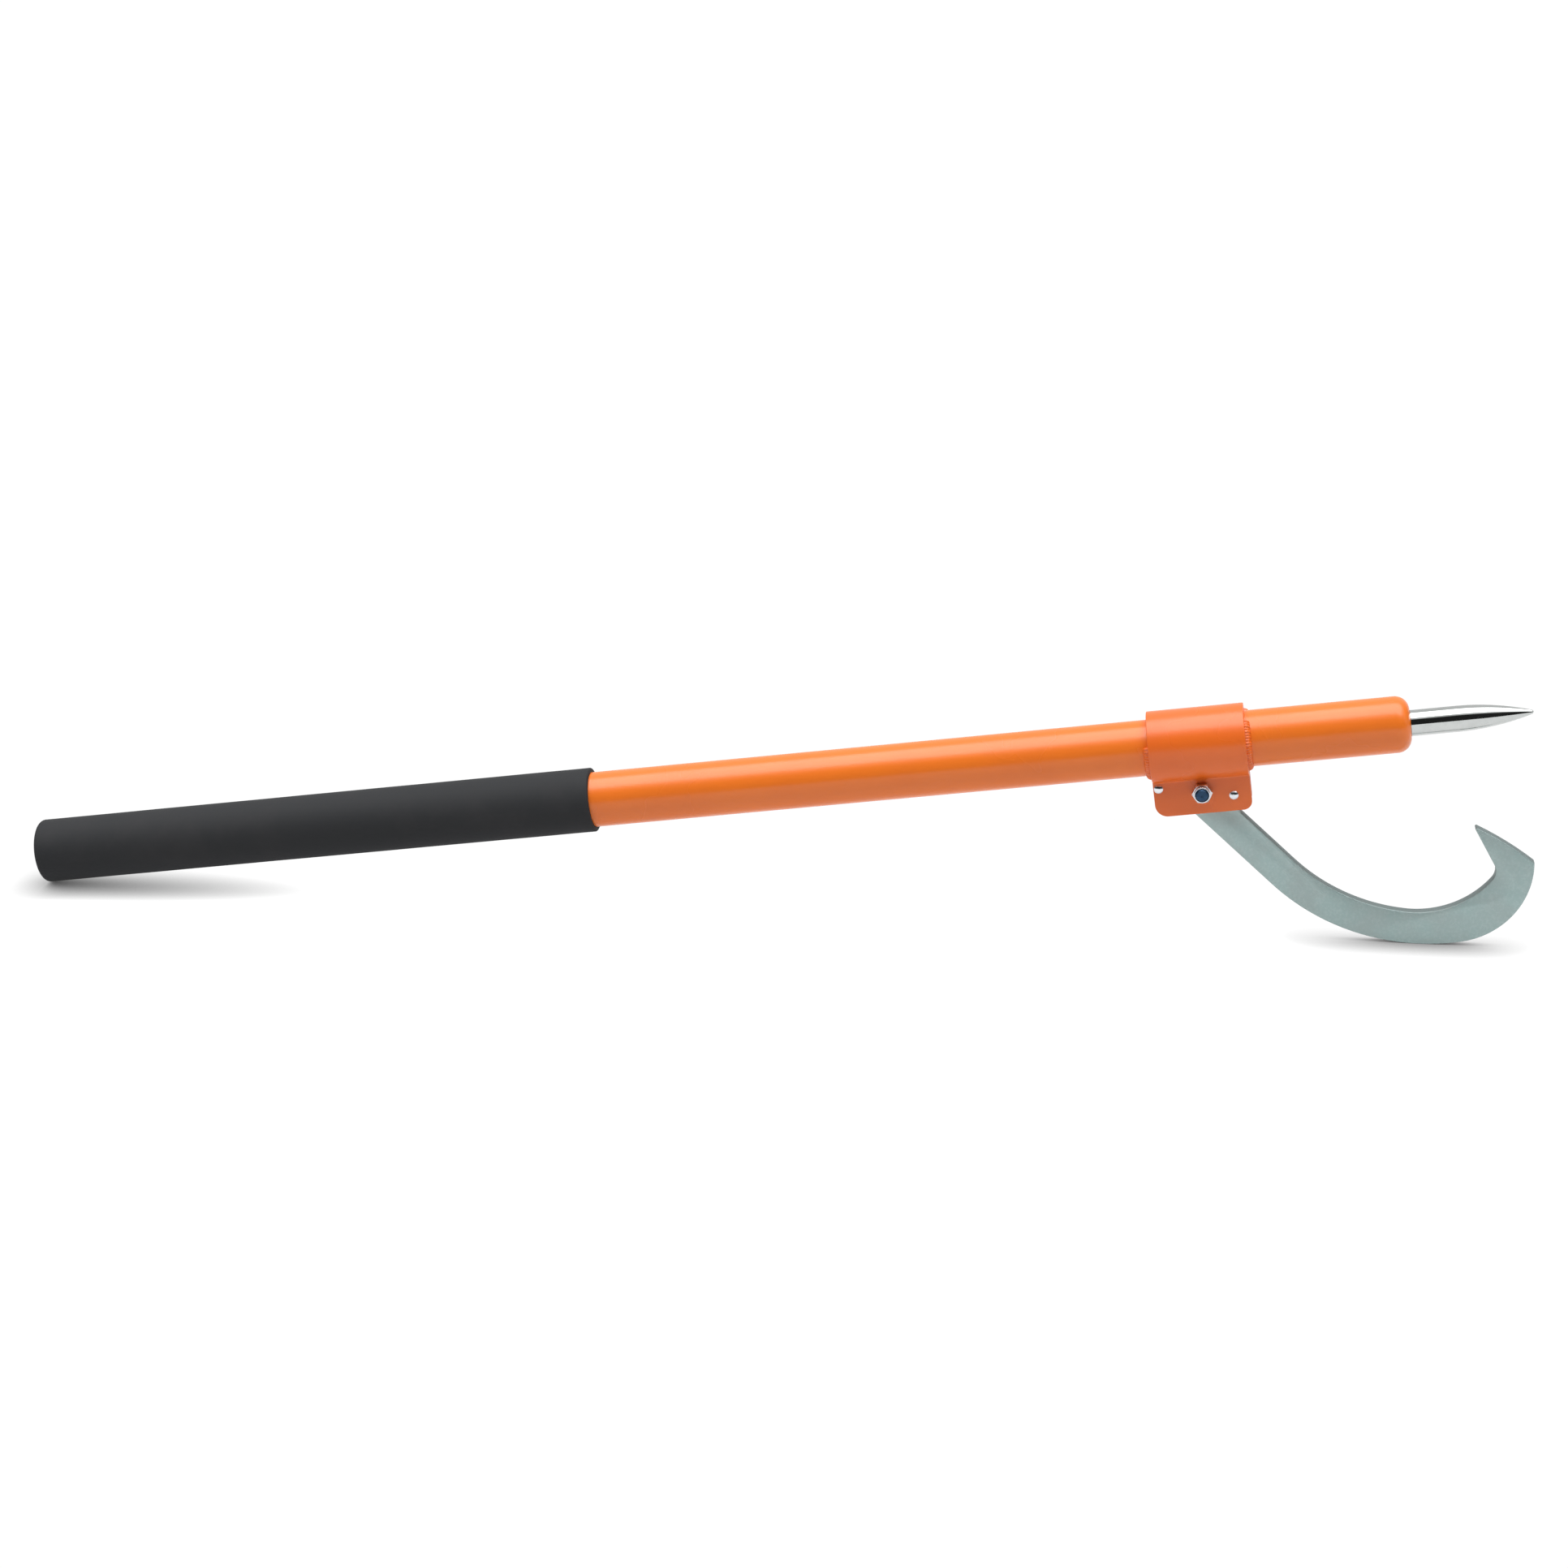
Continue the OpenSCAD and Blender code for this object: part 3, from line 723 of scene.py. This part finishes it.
def hexRings(seat, end):               # outline of a blank for a hexagon, narrowed toward its free end
    corner = hexLook["acrossFlats"] / 2 / math.cos(math.pi / 6)
    wide = corner + hexLook["spare"]
    return [(seat, wide), (seat + hexLook["narrowFrom"] * (end - seat), wide),
            (end, corner - hexLook["cornerBevel"])]


def planeFlats(piece):                 # cuts the six flats on a turned blank and rounds their edges
    flat = hexLook["acrossFlats"] / 2
    corner = flat / math.cos(math.pi / 6)
    near = hexLook["edgeRound"] / 8
    bpy.ops.object.mode_set(mode="EDIT")
    for side in range(6):
        angle = math.radians(30 + 60 * side)
        facing = Vector((0, math.cos(angle), math.sin(angle)))
        bpy.ops.mesh.select_all(action="SELECT")
        bpy.ops.mesh.bisect(plane_co=facing * flat, plane_no=facing, clear_outer=True, use_fill=True)
    selectWhere(piece, lambda p: math.hypot(p.y, p.z) > corner - near)
    bpy.ops.mesh.bevel(offset=hexLook["edgeRound"], segments=hexLook["edgeSteps"], affect="EDGES")
    bpy.ops.object.mode_set(mode="OBJECT")


def makeNut():
    seat, top = seatOut, seatOut + nutLook["height"]
    rim, corner = top + nutLook["collar"], nutLook["collarRound"]
    collarOut = hexLook["acrossFlats"] / 2 - nutLook["collarStep"]
    insertOut = collarOut - nutLook["collarWall"]
    bore = boltLook["radius"] + nutLook["boreGap"]
    rings = [(seat, bore)] + hexRings(seat, top) + [(top, collarOut)]
    rings += arcRings(rim - corner, collarOut - corner, corner, 90, 0, nutLook["roundSteps"])
    rings += [(rim, insertOut), (top, insertOut), (top, bore), (seat, bore)]
    piece = turnPiece("lockNut", rings, hexLook["segments"], hollow=True)
    planeFlats(piece)
    finishPiece(piece, pivotSpace, "handle", "pivot_nut", brightZinc, smoothAngle=30)


def makeInsert():
    base = seatOut + nutLook["height"]
    top = base + nutLook["collar"] - insertLook["recess"]
    outer = hexLook["acrossFlats"] / 2 - nutLook["collarStep"] - nutLook["collarWall"] - insertLook["gap"]
    inner = boltLook["radius"] + insertLook["gap"]
    outerDown, outerIn = insertLook["outerBevel"]
    innerDown, innerOut = insertLook["innerBevel"]
    rings = [(base, inner), (base, outer), (top - outerDown, outer), (top, outer - outerIn),
             (top, inner + innerOut), (top - innerDown, inner), (base, inner)]
    piece = turnPiece("nylonRing", rings, hexLook["segments"], hollow=True)
    finishPiece(piece, pivotSpace, "handle", "nut_insert", insertNylon)


def makeBolt():
    radius, depth, pitch = boltLook["radius"], boltLook["threadDepth"], boltLook["threadPitch"]
    end = seatOut + nutLook["height"] + nutLook["collar"] + boltLook["standsOut"]
    bevel = boltLook["endBevel"]
    dishRadius, dishDepth = boltLook["endDish"]
    headEnd = -seatOut - boltLook["headHeight"]
    rings = [(headEnd, tiny)] + hexRings(-seatOut, headEnd)[::-1] + [(-seatOut, radius), (seatOut, radius)]
    x = seatOut + boltLook["threadStart"]
    rings.append((x, radius))
    while x + pitch < end - bevel:
        rings += [(x + 0.5 * pitch, radius - depth), (x + pitch, radius)]
        x += pitch
    rings += [(end - bevel, radius), (end, radius - bevel), (end, dishRadius), (end - dishDepth, tiny)]
    piece = turnPiece("pivotBolt", rings, hexLook["segments"])
    planeFlats(piece)
    finishPiece(piece, pivotSpace, "handle", "pivot_bolt", boltSteel, smoothAngle=30)


def makeRivet(name, nodeName):         # shank between two domed heads
    headRadius, headHeight, rim = rivetLook["headRadius"], rivetLook["headHeight"], rivetLook["rim"]
    bevelIn, bevelShare = rivetLook["rimBevel"]
    dome = (headRadius ** 2 + (headHeight - rim) ** 2) / (2 * (headHeight - rim))
    top = seatOut + headHeight
    spread = math.degrees(math.asin(headRadius / dome))
    flatSpread = math.degrees(math.asin(rivetLook["flat"] / dome))
    head = [(seatOut, rivetLook["shank"]), (seatOut, headRadius - bevelIn),
            (seatOut + rim * bevelShare, headRadius)]
    head += arcRings(top - dome, 0, dome, spread, flatSpread, rivetLook["domeSteps"])
    head.append((top - rivetLook["flatDip"], tiny))
    piece = turnPiece(name, [(-x, radius) for x, radius in reversed(head)] + head, rivetLook["segments"])
    place = Matrix.Translation(pivotSpace.inverted() @ centreOf(nodeName))
    finishPiece(piece, pivotSpace @ place, "handle", nodeName, brightZinc,
                smoothAngle=40)


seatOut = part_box("pivot_sleeve")[1].y + saddleLook["thickness"]    # outer faces of the ears
makeNut()
makeInsert()
makeBolt()
makeRivet("frontRivet", "front_stop_rivet")
makeRivet("rearRivet", "rear_stop_rivet")
# The plain CAD nodes stay and get their finish
for nodeName, material in (("front_stop_spacer", plainSteel), ("rear_stop_spacer", plainSteel),
                           ("pivot_sleeve", plainSteel), ("butt_plug", plugPlastic)):
    cadMesh = frame["nodes"][nodeName].data
    cadMesh.materials.clear()
    cadMesh.materials.append(material)
print("fasteners made")

# Floor, light and camera
floorLook = {
    "size": 120.0,
    "colour": (0.40, 0.40, 0.403),
    "paper": (3.0, 2.0),           # grain of the sheet
    "paperTone": 1.01,
    "roughness": 0.9,
    "shine": 0.1,
    "glow": 0.36,                  # light that comes up through the white sheet
    "backdrop": 1.03,              # the pale backdrop that the sheet runs into
    "beneath": 0.95,               # light below the sheet, as bright as the sheet itself
    "shadowReach": 0.03,           # how near a piece has to be to shade the sheet
    "shadowFrom": (0, 0.45, 0.89),     # the light that it keeps off comes from above and behind
    "shadowSamples": 16,
}
lightLook = {
    "overhead": 4.6,               # strip of bright ceiling along the shaft
    "tent": 0.75,                  # pale tent on all other sides
    "dark": 0.02,                  # dark gap low on the viewer's side
    "darkTo": 48,                  # degrees above the floor on the viewer's side
    "stripFrom": 62,
    "stripTo": 112,
    "blur": 4,
    "ends": (0.42, 0.82, 0.15),    # the tent dims toward both ends of the tool, from, to and down to
}
cameraLook = {
    "yaw": 7.46564,                # degrees round from square on
    "elevation": 18.0,
    "distance": 2.6398,
    "aim": Vector((0.01592, 0, 0.11025)),
    "lens": 75.43,
    "sensor": 36.0,
    "seesTo": 200,
}


def makeFloor():
    deselectAll()
    bpy.ops.mesh.primitive_plane_add(size=floorLook["size"])
    floor = bpy.context.object
    floor.name = "studioFloor"
    material, tree, shader = newMaterial("floorPaper", {
        "Roughness": floorLook["roughness"], "Specular IOR Level": floorLook["shine"],
        "Emission Color": (1, 1, 1, 1), "Emission Strength": floorLook["glow"]})
    coordinates = addNode(tree, "ShaderNodeTexCoord")
    paper = addGrain(tree, coordinates.outputs["Object"], *floorLook["paper"])
    light = tuple(c * floorLook["paperTone"] for c in floorLook["colour"])
    tree.links.new(mixColours(tree, paper.outputs["Mask"], floorLook["colour"], light),
                   shader.inputs["Base Color"])
    # The eye sees the plain backdrop through the sheet, shaded where a piece stands close above it
    shade = addNode(tree, "ShaderNodeAmbientOcclusion", {"samples": floorLook["shadowSamples"]},
                    {"Distance": floorLook["shadowReach"]})
    back = addNode(tree, "ShaderNodeCombineXYZ", values=dict(zip("XYZ", floorLook["shadowFrom"])))
    tree.links.new(back.outputs["Vector"], shade.inputs["Normal"])
    shaded = addNode(tree, "ShaderNodeBsdfTransparent")
    tree.links.new(shade.outputs["Color"], shaded.inputs["Color"])
    path = addNode(tree, "ShaderNodeLightPath")
    side = addNode(tree, "ShaderNodeNewGeometry")
    clear = addNode(tree, "ShaderNodeBsdfTransparent")
    above = addNode(tree, "ShaderNodeMixShader")
    sheet = addNode(tree, "ShaderNodeMixShader")       # a hook below the sheet is lit as above it
    for mix, choice, first, second in ((above, path.outputs["Is Camera Ray"], shader, shaded),
                                       (sheet, side.outputs["Backfacing"], above, clear)):
        tree.links.new(choice, mix.inputs[0])
        tree.links.new(first.outputs[0], mix.inputs[1])
        tree.links.new(second.outputs[0], mix.inputs[2])
    tree.links.new(sheet.outputs[0], tree.nodes["Material Output"].inputs["Surface"])
    floor.data.materials.append(material)


def makeTent():                        # light by direction, the same all along the tool
    world = bpy.data.worlds.new("lightTent")
    bpy.context.scene.world = world
    world.use_nodes = True
    tree = world.node_tree
    coordinates = addNode(tree, "ShaderNodeTexCoord")
    split = addNode(tree, "ShaderNodeSeparateXYZ")
    tree.links.new(coordinates.outputs["Generated"], split.inputs["Vector"])
    forward = addMath(tree, "MULTIPLY", split.outputs["Y"], -1.0)
    height = addMath(tree, "ARCTAN2", split.outputs["Z"], forward)
    dark, tent, overhead = lightLook["dark"], lightLook["tent"], lightLook["overhead"]
    blur = lightLook["blur"]
    strength = 0.0
    for degrees, change in ((lightLook["darkTo"], tent - dark), (lightLook["stripFrom"], overhead - tent),
                            (lightLook["stripTo"], tent - overhead)):
        step = mapValue(tree, height, 0.0, 1.0, math.radians(degrees - blur), math.radians(degrees + blur),
                        "SMOOTHSTEP")
        strength = addMath(tree, "MULTIPLY_ADD", step, change, strength)
    near, far, dimmed = lightLook["ends"]
    sideways = addMath(tree, "ABSOLUTE", split.outputs["X"])
    fade = mapValue(tree, sideways, 1.0, dimmed, near, far, "SMOOTHSTEP")
    strength = addMath(tree, "MULTIPLY_ADD", strength, fade, dark)
    below = addMath(tree, "LESS_THAN", split.outputs["Z"], 0.0)
    strength = addMath(tree, "MULTIPLY_ADD", below, floorLook["beneath"], strength)
    path = addNode(tree, "ShaderNodeLightPath")
    chosen = addNode(tree, "ShaderNodeMix", values={"B": floorLook["backdrop"]})
    tree.links.new(path.outputs["Is Camera Ray"], chosen.inputs["Factor"])
    tree.links.new(strength, chosen.inputs["A"])
    background = tree.nodes["Background"]
    background.inputs["Color"].default_value = (1, 1, 1, 1)
    tree.links.new(chosen.outputs["Result"], background.inputs["Strength"])


def makeCamera():
    yaw, elevation = math.radians(cameraLook["yaw"]), math.radians(cameraLook["elevation"])
    back = Vector((math.sin(yaw) * math.cos(elevation), -math.cos(yaw) * math.cos(elevation),
                   math.sin(elevation)))
    data = bpy.data.cameras.new("photoCamera")
    data.lens = cameraLook["lens"]
    data.sensor_width = cameraLook["sensor"]
    data.clip_end = cameraLook["seesTo"]
    camera = bpy.data.objects.new("photoCamera", data)
    bpy.context.scene.collection.objects.link(camera)
    camera.location = cameraLook["aim"] + back * cameraLook["distance"]
    camera.rotation_mode = "QUATERNION"
    camera.rotation_quaternion = (-back).to_track_quat("-Z", "Y")
    bpy.context.scene.camera = camera


makeFloor()
makeTent()
makeCamera()
bpy.context.scene.view_settings.view_transform = "Standard"
print("studio ready")
